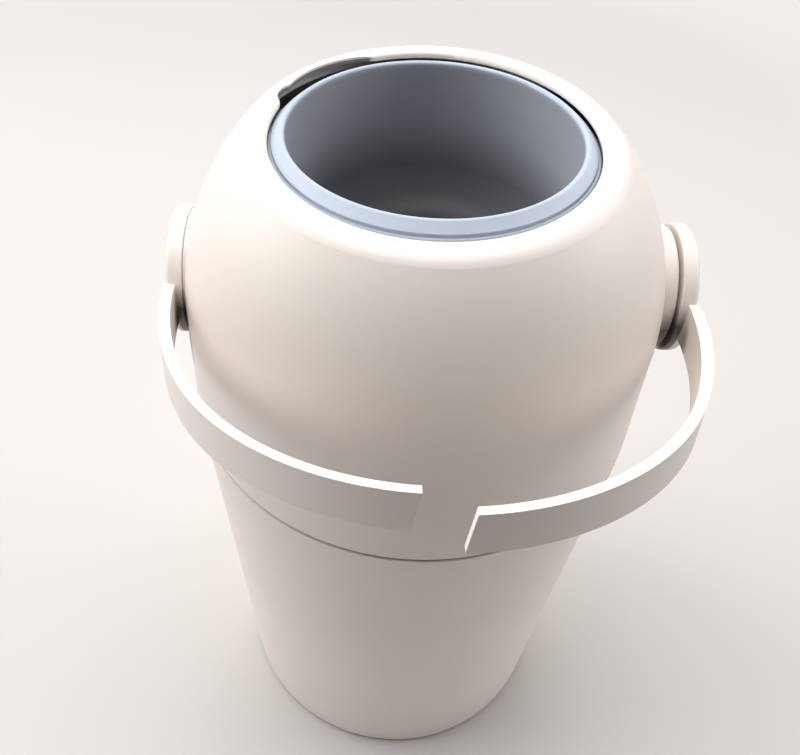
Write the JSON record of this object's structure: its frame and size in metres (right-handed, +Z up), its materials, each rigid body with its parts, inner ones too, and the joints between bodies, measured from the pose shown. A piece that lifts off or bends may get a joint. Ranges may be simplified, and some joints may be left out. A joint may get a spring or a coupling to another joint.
{
  "type": "nappy bin",
  "caption": "Round turn-over nappy bin: tapered tub, domed lid with a turning ball and cup worked by the bail handle, whose strap is snapped at the front.",
  "frame": {"origin": "middle of the face that the bin stands on", "axes": "+Z up, the handle's broken strap and the notch in the foot towards -Y, the pivot of the ball and handle along X"},
  "size_m": [0.2887, 0.3382, 0.5006],
  "materials": {
    "ivory_plastic": "satin moulded polypropylene, ivory",
    "blue_grey_plastic": "satin moulded plastic, pale blue-grey",
    "cup_plastic": "satin moulded plastic, mid blue-grey",
    "rubber": "matt soft rubber, dark grey",
    "white_plastic": "natural slippery plastic",
    "steel": "zinc-plated"
  },
  "bodies": {
    "base": {"foot_pad": "rubber", "tub": "ivory_plastic"},
    "bag_ring": {"bag_ring": "blue_grey_plastic"},
    "lid": {"dome": "ivory_plastic", "wiper_seal": "rubber", "apron": "blue_grey_plastic", "apron_screws": "steel", "left_bush": "white_plastic", "right_bush": "white_plastic"},
    "drum": {"ball_lower": "blue_grey_plastic", "ball_cover": "blue_grey_plastic", "cup": "cup_plastic", "left_spindle": "white_plastic", "right_spindle": "white_plastic", "left_washer": "white_plastic", "right_washer": "white_plastic", "handle_left": "ivory_plastic", "handle_right": "ivory_plastic", "left_screw": "steel", "right_screw": "steel", "left_cap": "ivory_plastic", "right_cap": "ivory_plastic"}
  },
  "joints": [
    {"name": "lid_lift", "type": "slide", "parent": "base", "child": "lid", "axis": [0, 0, 1], "range_m": [0, 0.12]},
    {"name": "bag_ring_lift", "type": "slide", "parent": "base", "child": "bag_ring", "axis": [0, 0, 1], "range_m": [0, 0.054]},
    {"name": "drum_turn", "type": "hinge", "parent": "lid", "child": "drum", "pos_m": [0, 0, 0.4045], "axis": [-1, 0, 0], "range_deg": [-2.3, 177.7]}
  ],
  "couplings": [
    {"joint": "bag_ring_lift", "follows": "lid_lift", "ratio": 0.45}
  ]
}
